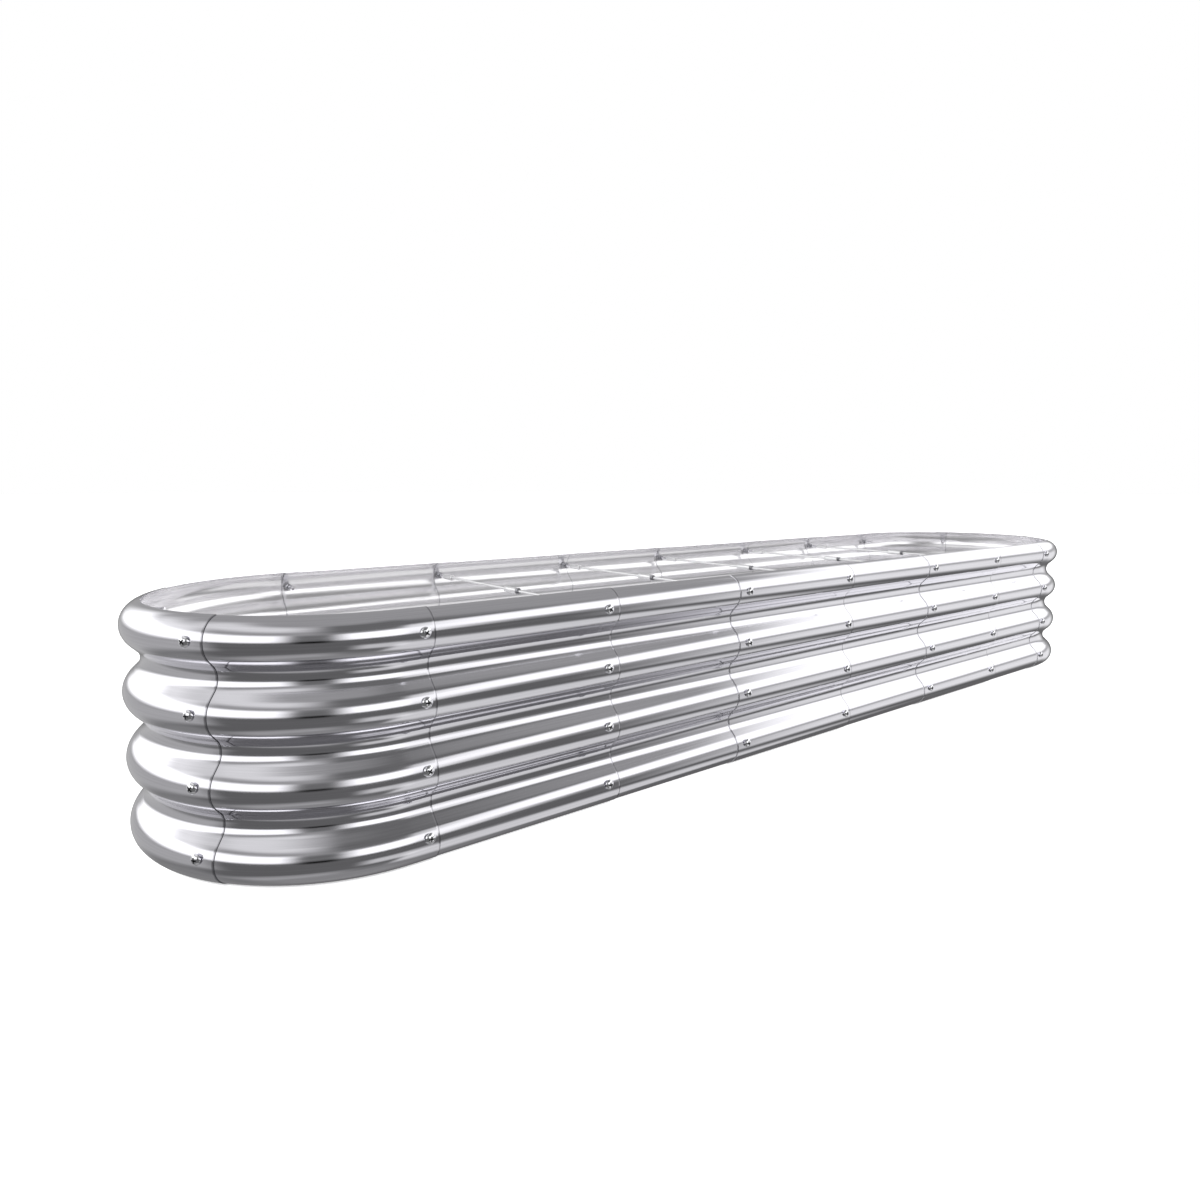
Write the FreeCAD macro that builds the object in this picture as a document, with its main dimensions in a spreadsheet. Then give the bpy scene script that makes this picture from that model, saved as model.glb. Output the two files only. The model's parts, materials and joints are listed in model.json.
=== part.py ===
import FreeCAD, Part
import math
import os
import Sketcher

# Raised garden bed: a long bottomless box with round ends, made of eighteen thin corrugated steel
# sheets that lap over each other and are screwed together on their crests, and of five threaded tie
# rods that cross the bed at the height of the top screws and hold the long walls together.
#
# Frame: X along the bed, Y across it with the front wall at -Y, Z up. The origin is on the ground
# in the middle of the bed. All sizes are in millimetres and degrees.
#
# Nesting: lapped sheets lie inside each other, so each sheet has a level. Level 0 is the outermost
# one, and every further level is offset inwards by one sheet thickness and a small gap.

V = FreeCAD.Vector
Z_AXIS = V(0, 0, 1)
CREST_COUNT = 4
BAY_COUNT = 6
SCREW_ROWS = 4
FRONT_AZIMUTH = -90.0
OUTSIDE = 5.0

SIZES = (
    ("corrugation_pitch", 77.6, "height from one crest to the next"),
    ("corrugation_depth", 19.8, "from the crest line in to the valley line"),
    ("crest_radius", 27.8, "outer face of a crest on the outermost sheet"),
    ("valley_radius", 18.0, "outer face of a valley on the outermost sheet"),
    ("rim_wrap", 80.0, "degrees that the top crest turns on above its crest line"),
    ("foot_lip", 3.0, "flat lip under the bottom crest, which the bed stands on"),
    ("sheet_thickness", 0.6, "steel sheet with its zinc"),
    ("sheet_step", 0.65, "inward offset from one nesting level to the next"),
    ("wall_radius", 236.5, "half the width over the outermost crests, and the radius of the ends"),
    ("bay_1", 252.5, "between screw columns 1 and 2 of a long wall"),
    ("bay_2", 265.75, "between screw columns 2 and 3"),
    ("bay_3", 248.25, "between screw columns 3 and 4"),
    ("bay_4", 271.75, "between screw columns 4 and 5"),
    ("bay_5", 238.5, "between screw columns 5 and 6"),
    ("bay_6", 232.25, "between screw columns 6 and 7"),
    ("left_lead", 14.8, "straight wall beyond the first screw column"),
    ("right_lead", 9.0, "straight wall beyond the last screw column"),
    ("left_seam_angle", 56.5, "degrees round the left end to its screw columns"),
    ("right_seam_angle", 58.8, "degrees round the right end to its screw columns"),
    ("hidden_lap", 8.5, "how far the inner sheet runs on past a screw column"),
    ("left_end_lap", 21.0, "how far the left end sheet runs on over the corner sheets"),
    ("right_end_lap", 20.0, "how far the right end sheet runs on over the corner sheets"),
    ("lap_1", 12.5, "outer sheet's edge past screw column 1"),
    ("lap_2", 19.0, "outer sheet's edge past screw column 2"),
    ("lap_3", 20.5, "outer sheet's edge past screw column 3"),
    ("lap_4", 13.5, "outer sheet's edge past screw column 4"),
    ("lap_5", 21.5, "outer sheet's edge past screw column 5"),
    ("lap_6", 18.5, "outer sheet's edge past screw column 6"),
    ("lap_7", 15.0, "outer sheet's edge past screw column 7"),
    ("screw_pitch", 76.2, "height from one screw to the next"),
    ("first_screw", 34.4, "height of the lowest screw"),
    ("hole_diameter", 6.6, "clearance hole in the sheets"),
    ("screw_diameter", 6.0, "M6 screw"),
    ("seam_screw_length", 30.0, "under the head of a seam screw"),
    ("tie_screw_length", 35.0, "under the head of a screw that carries a tie rod"),
    ("head_diameter", 12.6, "domed screw head"),
    ("head_height", 4.2, "domed screw head"),
    ("dome_radius", 8.6, "of the head's dome"),
    ("recess_span", 6.6, "cross recess, tip to tip"),
    ("recess_slot", 1.5, "width of the cross recess"),
    ("recess_depth", 2.2, "of the cross recess"),
    ("head_gap", 0.03, "between the head and the crest"),
    ("nut_width", 10.0, "M6 hexagon nut across its flats"),
    ("nut_height", 5.0, "M6 hexagon nut"),
    ("thread_clearance", 0.05, "radial, of a thread in its nut or socket"),
    ("rod_diameter", 5.0, "M5 tie rod"),
    ("rod_engagement", 12.0, "length of rod inside a socket or the turnbuckle"),
    ("socket_diameter", 9.0, "round socket that joins a tie screw to a rod"),
    ("socket_length", 27.5, "of the socket"),
    ("socket_bore_depth", 13.0, "of the threaded bore at each end of the socket"),
    ("socket_reach", 208.0, "from the middle of the bed to a socket's outer end"),
    ("turnbuckle_diameter", 9.0, "round turnbuckle sleeve"),
    ("turnbuckle_length", 31.0, "of the turnbuckle sleeve"),
    ("turnbuckle_back", 12.0, "from the middle of the bed to the sleeve's back end"),
    ("wrench_flat_width", 7.4, "across the two flats of the sleeve"),
    ("wrench_flat_length", 8.0, "of the two flats at the sleeve's back end"),
    ("lock_nut_width", 8.0, "M5 lock nut across its flats"),
    ("lock_nut_height", 5.0, "of the lock nut"),
    ("lock_nut_gap", 0.3, "between the lock nut and the sleeve"),
)

# Each long wall, from its left end: the nesting level of its six sheets, and of the sheet that
# shows at each of its seven screw columns.
LEFT_END_LEVEL = 0
LEFT_CORNER_LEVEL = 1
WALL_LEVELS = (2, 3, 2, 3, 2, 3)
RIGHT_CORNER_LEVEL = 2
RIGHT_END_LEVEL = 1
# True where the sheet on the left of the column is the outer one.
LEFT_OVER_RIGHT = (True, True, False, True, False, True, False)
SEAM_LEVELS = (1, 2, 2, 2, 2, 2, 2)
TIE_COLUMNS = (1, 2, 3, 4, 5)

doc = FreeCAD.newDocument("raised_garden_bed")
sheet = doc.addObject("Spreadsheet::Sheet", "Sizes")
for row, (alias, value, note) in enumerate(SIZES, start=1):
    sheet.set(f"A{row}", alias)
    sheet.set(f"B{row}", str(value))
    sheet.set(f"C{row}", note)
    sheet.setAlias(f"B{row}", alias)
doc.recompute()


def size(alias):
    """A driving dimension, read from the spreadsheet."""
    return float(sheet.get(alias))


def degrees_along(length):
    """Angle that an arc of the given length takes on the round ends."""
    return math.degrees(length / size("wall_radius"))


# Places along the long walls, worked out from the driving dimensions.
BAYS = [size(f"bay_{bay}") for bay in range(1, BAY_COUNT + 1)]
LAPS = [size(f"lap_{column}") for column in range(1, BAY_COUNT + 2)]
STRAIGHT_LENGTH = size("left_lead") + sum(BAYS) + size("right_lead")
END_STEP = size("sheet_step") * (RIGHT_END_LEVEL - LEFT_END_LEVEL)
OVERALL_LENGTH = STRAIGHT_LENGTH + 2 * size("wall_radius") - END_STEP
LEFT_CENTRE = size("wall_radius") - OVERALL_LENGTH / 2
RIGHT_CENTRE = LEFT_CENTRE + STRAIGHT_LENGTH
COLUMNS = [LEFT_CENTRE + size("left_lead") + sum(BAYS[:column]) for column in range(BAY_COUNT + 1)]
SCREW_HEIGHTS = [size("first_screw") + size("screw_pitch") * row for row in range(SCREW_ROWS)]
LEFT_SEAM_AZIMUTH = FRONT_AZIMUTH - size("left_seam_angle")
RIGHT_SEAM_AZIMUTH = FRONT_AZIMUTH + size("right_seam_angle")


def bind(item, **expressions):
    """Bind properties of an object to the spreadsheet."""
    for name, expression in expressions.items():
        item.setExpression(name, expression)


def upright(x, azimuth):
    """Placement of something drawn with its radius along local X, turned to an azimuth."""
    return FreeCAD.Placement(V(x, 0, 0), FreeCAD.Rotation(Z_AXIS, azimuth))


def outward(x, azimuth, radius, height):
    """Placement that lays a local Z axis out along an azimuth, at a radius and a height."""
    local = FreeCAD.Placement(V(radius, 0, height), FreeCAD.Rotation(V(0, 1, 0), 90))
    return upright(x, azimuth).multiply(local)


def boolean(kind, name, base, tool):
    """A Part::Cut, Part::MultiFuse or Part::MultiCommon of two objects."""
    result = doc.addObject(kind, name)
    if kind == "Part::Cut":
        result.Base = base
        result.Tool = tool
    else:
        result.Shapes = [base, tool]
    return result


# ---- corrugated sheet -------------------------------------------------------------------------


def flank_angle():
    """Angle of a flank's normal above the crest's, where a straight flank joins both arcs."""
    radii = size("crest_radius") + size("valley_radius")
    across = radii - size("corrugation_depth")
    up = size("corrugation_pitch") / 2
    return math.atan2(up, across) - math.acos(radii / math.hypot(across, up))


def draw_outline(sketch, level):
    """Draw the sheet's outer line at one level: lip, then crests and valleys joined by flanks."""
    step = level * size("sheet_step")
    crest_r = size("crest_radius") - step
    valley_r = size("valley_radius") + step
    crest_x = size("wall_radius") - size("crest_radius")
    valley_x = size("wall_radius") - size("corrugation_depth") + size("valley_radius")
    flank = flank_angle()
    pitch = size("corrugation_pitch")
    crests = []
    valleys = []
    joints = []

    def arc(x, z, radius, start, end):
        circle = Part.Circle(V(x, z, 0), Z_AXIS, radius)
        return sketch.addGeometry(Part.ArcOfCircle(circle, start, end))

    def line(start, end):
        return sketch.addGeometry(Part.LineSegment(V(*start, 0), V(*end, 0)))

    for number in range(CREST_COUNT):
        z = size("crest_radius") + pitch * number
        start = -math.pi / 2 if number == 0 else -flank
        end = math.radians(size("rim_wrap")) if number == CREST_COUNT - 1 else flank
        crests.append((arc(crest_x, z, crest_r, start, end), z))
    for number in range(CREST_COUNT - 1):
        z = size("crest_radius") + pitch * (number + 0.5)
        valleys.append((arc(valley_x, z, valley_r, math.pi - flank, math.pi + flank), z))
    across = math.cos(flank)
    up = math.sin(flank)
    for (lower, lower_z), (valley, valley_z), (upper, upper_z) in zip(crests, valleys, crests[1:]):
        rise = line(
            (crest_x + crest_r * across, lower_z + crest_r * up),
            (valley_x - valley_r * across, valley_z - valley_r * up),
        )
        fall = line(
            (valley_x - valley_r * across, valley_z + valley_r * up),
            (crest_x + crest_r * across, upper_z - crest_r * up),
        )
        joints += [(lower, 2, rise, 1), (rise, 2, valley, 2)]
        joints += [(valley, 1, fall, 1), (fall, 2, upper, 1)]
    foot_z = size("crest_radius") - crest_r
    lip = line((crest_x - size("foot_lip"), foot_z), (crest_x, foot_z))
    joints.append((lip, 2, crests[0][0], 1))
    return crests, valleys, lip, joints


def wall_outline(level):
    """Sketch of a sheet's outer line at one level, in the plane across the sheet."""
    sketch = doc.addObject("Sketcher::SketchObject", f"outline_{level}")
    sketch.Placement = FreeCAD.Placement(V(), FreeCAD.Rotation(V(1, 0, 0), 90))
    crests, valleys, lip, joints = draw_outline(sketch, level)

    def dimension(name, expression, kind, *where):
        index = sketch.addConstraint(Sketcher.Constraint(kind, *where))
        sketch.renameConstraint(index, name)
        sketch.setExpression(f"Constraints.{name}", expression)

    for joint in joints:
        sketch.addConstraint(Sketcher.Constraint("Tangent", *joint))
    crest_x = "Sizes.wall_radius - Sizes.crest_radius"
    valley_x = "Sizes.wall_radius - Sizes.corrugation_depth + Sizes.valley_radius"
    kinds = (
        ("crest", crests, crest_x, f"Sizes.crest_radius - {level} * Sizes.sheet_step", 0.0),
        ("valley", valleys, valley_x, f"Sizes.valley_radius + {level} * Sizes.sheet_step", 0.5),
    )
    for kind, arcs, across, radius, first in kinds:
        for number, (arc, z) in enumerate(arcs):
            height = f"Sizes.crest_radius + {number + first} * Sizes.corrugation_pitch"
            x = sketch.Geometry[arc].Center.x
            dimension(f"{kind}_{number}_radius", radius, "Radius", arc, sketch.Geometry[arc].Radius)
            dimension(f"{kind}_{number}_across", across, "DistanceX", -1, 1, arc, 3, x)
            dimension(f"{kind}_{number}_height", height, "DistanceY", -1, 1, arc, 3, z)
    sketch.addConstraint(Sketcher.Constraint("Horizontal", lip))
    dimension("lip_length", "Sizes.foot_lip", "DistanceX", lip, 1, lip, 2, size("foot_lip"))
    top, top_z = crests[-1]
    centre = V(sketch.Geometry[top].Center.x, top_z, 0)
    spoke = sketch.addGeometry(Part.LineSegment(centre, sketch.Geometry[top].EndPoint), True)
    sketch.addConstraint(Sketcher.Constraint("Coincident", spoke, 1, top, 3))
    sketch.addConstraint(Sketcher.Constraint("Coincident", spoke, 2, top, 2))
    wrap = math.radians(size("rim_wrap"))
    dimension("rim_angle", "Sizes.rim_wrap * 1 deg", "Angle", spoke, wrap)
    return sketch


def wall_section(level):
    """The sheet's full section at one level: the outer line thickened inwards."""
    section = doc.addObject("Part::Offset2D", f"section_{level}")
    section.Source = wall_outline(level)
    section.Mode = "Skin"
    section.Fill = True
    bind(section, Value="Sizes.sheet_thickness")
    return section


SECTIONS = [wall_section(level) for level in range(max(WALL_LEVELS) + 1)]


def straight_part(name, level, start, length, expression):
    """Straight stretch of the front wall from x = start, to the right."""
    part = doc.addObject("Part::Extrusion", name)
    part.Base = SECTIONS[level]
    part.DirMode = "Custom"
    part.Dir = V(0, 1, 0)
    part.LengthFwd = length
    part.Solid = True
    part.Placement = upright(start, FRONT_AZIMUTH)
    bind(part, LengthFwd=expression)
    return part


def curved_part(name, level, centre, azimuth, sweep, expression):
    """Curved stretch of an end wall about x = centre, from an azimuth on anticlockwise."""
    part = doc.addObject("Part::Revolution", name)
    part.Source = SECTIONS[level]
    part.Axis = Z_AXIS
    part.Base = V(0, 0, 0)
    part.Angle = sweep
    part.Solid = True
    part.Placement = upright(centre, azimuth)
    bind(part, Angle=expression)
    return part


def drill_column(name, x, azimuth):
    """The four clearance holes of one screw column, as cylinders through the wall."""
    drills = []
    for row, height in enumerate(SCREW_HEIGHTS, start=1):
        drill = doc.addObject("Part::Cylinder", f"{name}_drill_{row}")
        drill.Placement = outward(x, azimuth, size("socket_reach"), height)
        bind(
            drill,
            Radius="Sizes.hole_diameter / 2",
            Height=f"Sizes.wall_radius - Sizes.socket_reach + {OUTSIDE}",
        )
        drills.append(drill)
    column = doc.addObject("Part::Compound", f"{name}_drills")
    column.Links = drills
    return column


def drilled(label, blank, columns):
    """A finished sheet: its blank with the holes of the screw columns at both its edges."""
    tools = doc.addObject("Part::Compound", f"{label}_holes")
    tools.Links = columns
    return boolean("Part::Cut", label, blank, tools)


wall_drills = [drill_column(f"column_{i + 1}", x, FRONT_AZIMUTH) for i, x in enumerate(COLUMNS)]
end_places = {
    "left_front": (LEFT_CENTRE, LEFT_SEAM_AZIMUTH),
    "left_back": (LEFT_CENTRE, -LEFT_SEAM_AZIMUTH),
    "right_front": (RIGHT_CENTRE, RIGHT_SEAM_AZIMUTH),
    "right_back": (RIGHT_CENTRE, -RIGHT_SEAM_AZIMUTH),
}
end_drills = {name: drill_column(name, *place) for name, place in end_places.items()}

front_panels = []
for bay in range(BAY_COUNT):
    start_over = not LEFT_OVER_RIGHT[bay]
    end_over = LEFT_OVER_RIGHT[bay + 1]
    before = "hidden_lap" if not start_over else f"lap_{bay + 1}"
    after = "hidden_lap" if not end_over else f"lap_{bay + 2}"
    blank = straight_part(
        f"wall_blank_{bay + 1}",
        WALL_LEVELS[bay],
        COLUMNS[bay] - size(before),
        size(before) + BAYS[bay] + size(after),
        f"Sizes.{before} + Sizes.bay_{bay + 1} + Sizes.{after}",
    )
    front_panels.append(drilled(f"front_panel_{bay + 1}", blank, wall_drills[bay : bay + 2]))

# Corner sheets: a straight lead over the long wall and the arc to the end sheet, tucked under it.
ARC = "180 / pi / Sizes.wall_radius"
left_sweep = size("left_seam_angle") + degrees_along(size("hidden_lap"))
left_corner = boolean(
    "Part::MultiFuse",
    "left_corner_blank",
    straight_part(
        "left_corner_lead",
        LEFT_CORNER_LEVEL,
        LEFT_CENTRE,
        size("left_lead") + LAPS[0],
        "Sizes.left_lead + Sizes.lap_1",
    ),
    curved_part(
        "left_corner_arc",
        LEFT_CORNER_LEVEL,
        LEFT_CENTRE,
        FRONT_AZIMUTH - left_sweep,
        left_sweep,
        f"Sizes.left_seam_angle + Sizes.hidden_lap * {ARC}",
    ),
)
right_sweep = size("right_seam_angle") + degrees_along(size("hidden_lap"))
right_corner = boolean(
    "Part::MultiFuse",
    "right_corner_blank",
    straight_part(
        "right_corner_lead",
        RIGHT_CORNER_LEVEL,
        COLUMNS[-1] - LAPS[-1],
        size("right_lead") + LAPS[-1],
        "Sizes.right_lead + Sizes.lap_7",
    ),
    curved_part(
        "right_corner_arc",
        RIGHT_CORNER_LEVEL,
        RIGHT_CENTRE,
        FRONT_AZIMUTH,
        right_sweep,
        f"Sizes.right_seam_angle + Sizes.hidden_lap * {ARC}",
    ),
)
left_columns = [wall_drills[0], end_drills["left_front"]]
right_columns = [wall_drills[-1], end_drills["right_front"]]
front_panels.append(drilled("front_corner_left", left_corner, left_columns))
front_panels.append(drilled("front_corner_right", right_corner, right_columns))


def end_panel(side, level, centre, middle, columns):
    """The sheet round the tip of one end, which laps over both corner sheets."""
    lap = degrees_along(size(f"{side}_end_lap"))
    half = 90 - size(f"{side}_seam_angle") + lap
    blank = curved_part(
        f"{side}_end_blank",
        level,
        centre,
        middle - half,
        2 * half,
        f"2 * (90 - Sizes.{side}_seam_angle + Sizes.{side}_end_lap * {ARC})",
    )
    return drilled(f"{side}_end_panel", blank, columns)


end_panels = [
    end_panel(
        "left",
        LEFT_END_LEVEL,
        LEFT_CENTRE,
        180.0,
        [end_drills["left_front"], end_drills["left_back"]],
    ),
    end_panel(
        "right",
        RIGHT_END_LEVEL,
        RIGHT_CENTRE,
        0.0,
        [end_drills["right_front"], end_drills["right_back"]],
    ),
]


# ---- fasteners --------------------------------------------------------------------------------


def threaded_bar(name, diameter, length):
    """A plain bar of a thread's outer diameter, along local Z from the origin."""
    bar = doc.addObject("Part::Cylinder", name)
    bind(bar, Radius=f"Sizes.{diameter} / 2", Height=length)
    return bar


def hexagon_nut(name, width, height, bar):
    """Hexagon nut along local Z from the origin, its corners rounded off at both faces."""
    prism = doc.addObject("Part::Prism", f"{name}_prism")
    prism.Polygon = 6
    bind(prism, Circumradius=f"Sizes.{width} / sqrt(3)", Height=f"Sizes.{height}")
    ball = doc.addObject("Part::Sphere", f"{name}_ball")
    half = f"(Sizes.{width} / 2 + Sizes.{height} / 20)"
    bind(ball, Radius=f"sqrt({half} * {half} + Sizes.{height} * Sizes.{height} / 4)")
    ball.Placement = FreeCAD.Placement(V(0, 0, size(height) / 2), FreeCAD.Rotation())
    bore = doc.addObject("Part::Cylinder", f"{name}_bore")
    bore.Placement = FreeCAD.Placement(V(0, 0, -OUTSIDE), FreeCAD.Rotation())
    bind(
        bore,
        Radius=f"Sizes.{bar} / 2 + Sizes.thread_clearance",
        Height=f"Sizes.{height} + 2 * {OUTSIDE}",
    )
    return boolean("Part::Cut", name, boolean("Part::MultiCommon", f"{name}_body", prism, ball), bore)


def cross_recess_screw(name, length):
    """Domed screw along local Z, its head above the origin and its shank below."""
    disc = doc.addObject("Part::Cylinder", f"{name}_disc")
    bind(disc, Radius="Sizes.head_diameter / 2", Height="Sizes.head_height")
    dome = doc.addObject("Part::Sphere", f"{name}_dome")
    dome_z = size("head_height") - size("dome_radius")
    dome.Placement = FreeCAD.Placement(V(0, 0, dome_z), FreeCAD.Rotation())
    bind(dome, Radius="Sizes.dome_radius")
    shank = threaded_bar(f"{name}_shank", "screw_diameter", f"Sizes.{length} + Sizes.head_height / 2")
    shank.Placement = FreeCAD.Placement(V(0, 0, -size(length)), FreeCAD.Rotation())
    head = boolean("Part::MultiCommon", f"{name}_head", disc, dome)
    slots = []
    for turn in (0, 90):
        slot = doc.addObject("Part::Box", f"{name}_slot_{turn}")
        bind(slot, Length="Sizes.recess_span", Width="Sizes.recess_slot", Height="Sizes.recess_depth + 1")
        corner = V(-size("recess_span") / 2, -size("recess_slot") / 2, 0)
        floor = FreeCAD.Placement(V(0, 0, size("head_height") - size("recess_depth")), FreeCAD.Rotation())
        turned = FreeCAD.Placement(V(), FreeCAD.Rotation(Z_AXIS, turn))
        slot.Placement = floor.multiply(turned).multiply(FreeCAD.Placement(corner, FreeCAD.Rotation()))
        slots.append(slot)
    recess = boolean("Part::MultiFuse", f"{name}_recess", *slots)
    body = boolean("Part::MultiFuse", f"{name}_blank", head, shank)
    return boolean("Part::Cut", name, body, recess)


seam_screw = cross_recess_screw("seam_screw", "seam_screw_length")
tie_screw = cross_recess_screw("tie_screw", "tie_screw_length")
seam_nut = hexagon_nut("seam_nut", "nut_width", "nut_height", "screw_diameter")


def nut_seat(level):
    """Radius at which a nut's outer face clears the hollow side of the crest behind it."""
    inner_crest = size("crest_radius") - (level + 1) * size("sheet_step") - size("sheet_thickness")
    offset = size("first_screw") - size("crest_radius")
    corner = offset + size("nut_width") / math.sqrt(3)
    return size("wall_radius") - size("crest_radius") + math.sqrt(inner_crest**2 - corner**2)


def head_seat(level):
    """Radius of the underside of a screw head on the sheet that shows."""
    return size("wall_radius") - level * size("sheet_step") + size("head_gap")


def copies(label, places):
    """One node of separate copies: places holds the piece and its placement for each copy."""
    links = []
    for number, (piece, placement) in enumerate(places, start=1):
        link = doc.addObject("App::Link", f"{label}_{number}")
        link.LinkedObject = piece
        link.Placement = placement
        links.append(link)
    group = doc.addObject("Part::Compound", label)
    group.Links = links
    return group


def column_places(x, azimuth, level, tied):
    """Screws and nuts of one column, from the lowest up."""
    screws = []
    nuts = []
    for row, height in enumerate(SCREW_HEIGHTS):
        piece = tie_screw if tied and row == SCREW_ROWS - 1 else seam_screw
        screws.append((piece, outward(x, azimuth, head_seat(level), height)))
        nut_radius = nut_seat(level) - size("nut_height")
        nuts.append((seam_nut, outward(x, azimuth, nut_radius, height)))
    return screws, nuts


front_screws = []
front_nuts = []
for column, x in enumerate(COLUMNS):
    screws, nuts = column_places(x, FRONT_AZIMUTH, SEAM_LEVELS[column], column in TIE_COLUMNS)
    front_screws += screws
    front_nuts += nuts
front_fasteners = [copies("front_screws", front_screws), copies("front_nuts", front_nuts)]
end_fasteners = []
for side, level in (("left", LEFT_END_LEVEL), ("right", RIGHT_END_LEVEL)):
    end_screws = []
    end_nuts = []
    for flank in ("front", "back"):
        screws, nuts = column_places(*end_places[f"{side}_{flank}"], level, False)
        end_screws += screws
        end_nuts += nuts
    end_fasteners.append(copies(f"{side}_end_screws", end_screws))
    end_fasteners.append(copies(f"{side}_end_nuts", end_nuts))


# ---- tie rods ---------------------------------------------------------------------------------


def shifted(distance):
    """Placement that moves a piece along its own Z axis."""
    return FreeCAD.Placement(V(0, 0, distance), FreeCAD.Rotation())


def rod_socket(name, placement):
    """Round socket along local Z, bored for a rod at its foot and for a screw at its outer end."""
    body = threaded_bar(f"{name}_body", "socket_diameter", "Sizes.socket_length")
    rod_bore = doc.addObject("Part::Cylinder", f"{name}_rod_bore")
    rod_bore.Placement = shifted(-OUTSIDE)
    depth = f"Sizes.socket_bore_depth + {OUTSIDE}"
    bind(rod_bore, Radius="Sizes.rod_diameter / 2 + Sizes.thread_clearance", Height=depth)
    screw_bore = doc.addObject("Part::Cylinder", f"{name}_screw_bore")
    screw_bore.Placement = shifted(size("socket_length") - size("socket_bore_depth"))
    bind(screw_bore, Radius="Sizes.screw_diameter / 2 + Sizes.thread_clearance", Height=depth)
    bores = boolean("Part::MultiFuse", f"{name}_bores", rod_bore, screw_bore)
    socket = boolean("Part::Cut", name, body, bores)
    socket.Placement = placement
    return socket


def turnbuckle(name):
    """Round sleeve along local Z with two wrench flats at its upper end, bored through."""
    body = threaded_bar(f"{name}_body", "turnbuckle_diameter", "Sizes.turnbuckle_length")
    bore = doc.addObject("Part::Cylinder", f"{name}_bore")
    bore.Placement = shifted(-OUTSIDE)
    through = f"Sizes.turnbuckle_length + 2 * {OUTSIDE}"
    bind(bore, Radius="Sizes.rod_diameter / 2 + Sizes.thread_clearance", Height=through)
    cuts = [bore]
    diameter = size("turnbuckle_diameter")
    half_width = size("wrench_flat_width") / 2
    foot = size("turnbuckle_length") - size("wrench_flat_length")
    for side, near in (("near", half_width), ("far", -half_width - diameter)):
        flat = doc.addObject("Part::Box", f"{name}_{side}_flat")
        bind(
            flat,
            Length="Sizes.turnbuckle_diameter",
            Width="Sizes.turnbuckle_diameter",
            Height="Sizes.wrench_flat_length + 1",
        )
        flat.Placement = FreeCAD.Placement(V(-diameter / 2, near, foot), FreeCAD.Rotation())
        cuts.append(flat)
    tool = doc.addObject("Part::MultiFuse", f"{name}_cuts")
    tool.Shapes = cuts
    return boolean("Part::Cut", name, body, tool)


TIE_HEIGHT = SCREW_HEIGHTS[-1]
BACK_AZIMUTH = -FRONT_AZIMUTH
SOCKET_FOOT = size("socket_reach") - size("socket_length")
SLEEVE_FRONT = size("turnbuckle_length") - size("turnbuckle_back")
tie_pieces = []
for number, column in enumerate(TIE_COLUMNS, start=1):
    x = COLUMNS[column]
    name = f"tie_rod_{number}"
    for side, azimuth in (("front", FRONT_AZIMUTH), ("back", BACK_AZIMUTH)):
        place = outward(x, azimuth, SOCKET_FOOT, TIE_HEIGHT)
        tie_pieces.append(rod_socket(f"{name}_{side}_socket", place))
    back_rod = threaded_bar(
        f"{name}_back",
        "rod_diameter",
        "Sizes.socket_reach - Sizes.socket_length + 2 * Sizes.rod_engagement - Sizes.turnbuckle_back",
    )
    back_foot = size("turnbuckle_back") - size("rod_engagement")
    back_rod.Placement = outward(x, BACK_AZIMUTH, back_foot, TIE_HEIGHT)
    front_rod = threaded_bar(
        f"{name}_front",
        "rod_diameter",
        "Sizes.socket_reach - Sizes.socket_length + 2 * Sizes.rod_engagement"
        " - Sizes.turnbuckle_length + Sizes.turnbuckle_back",
    )
    front_foot = SLEEVE_FRONT - size("rod_engagement")
    front_rod.Placement = outward(x, FRONT_AZIMUTH, front_foot, TIE_HEIGHT)
    sleeve = turnbuckle(f"{name}_turnbuckle")
    sleeve.Placement = outward(x, BACK_AZIMUTH, -SLEEVE_FRONT, TIE_HEIGHT)
    lock_nut = hexagon_nut(f"{name}_lock_nut", "lock_nut_width", "lock_nut_height", "rod_diameter")
    nut_foot = SLEEVE_FRONT + size("lock_nut_gap")
    lock_nut.Placement = outward(x, FRONT_AZIMUTH, nut_foot, TIE_HEIGHT)
    tie_pieces += [back_rod, front_rod, sleeve, lock_nut]


# ---- back wall, checks and files --------------------------------------------------------------


def mirrored(source):
    """The same piece on the back wall: mirrored in the plane along the middle of the bed."""
    mirror = doc.addObject("Part::Mirroring", source.Name.replace("front", "back", 1))
    mirror.Source = source
    mirror.Normal = V(0, 1, 0)
    mirror.Base = V(0, 0, 0)
    return mirror


nodes = front_panels + front_fasteners
nodes += [mirrored(node) for node in front_panels + front_fasteners]
nodes += end_panels + end_fasteners + tie_pieces
for node in nodes:
    node.Label = node.Name
doc.recompute()

for item in doc.Objects:
    if "Invalid" in item.State or "Error" in item.State:
        raise RuntimeError(f"{item.Name} failed: {item.State}")
os.makedirs("parts", exist_ok=True)
for node in nodes:
    shape = node.Shape
    if shape.isNull() or not shape.isValid() or not shape.Solids:
        raise RuntimeError(f"{node.Label} has no valid solid")
for node in nodes:
    node.Shape.exportStep(f"parts/{node.Label}.step")
print(f"{len(nodes)} nodes, overall length {OVERALL_LENGTH:.2f}")
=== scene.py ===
"""Looks of a raised garden bed of corrugated steel.

The bed is a long bottomless box with round ends. Eighteen thin corrugated sheets lap over each
other and are screwed together on their crests, and five tie rods cross the bed at the height of
the top screws. Lengths are millimetres where nothing else is said, and meshes are in metres.
"""

import json
import logging
import math
from collections.abc import Iterable
from dataclasses import dataclass, field
from enum import Enum

import bmesh
import bpy
from mathutils import Matrix, Vector

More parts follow.
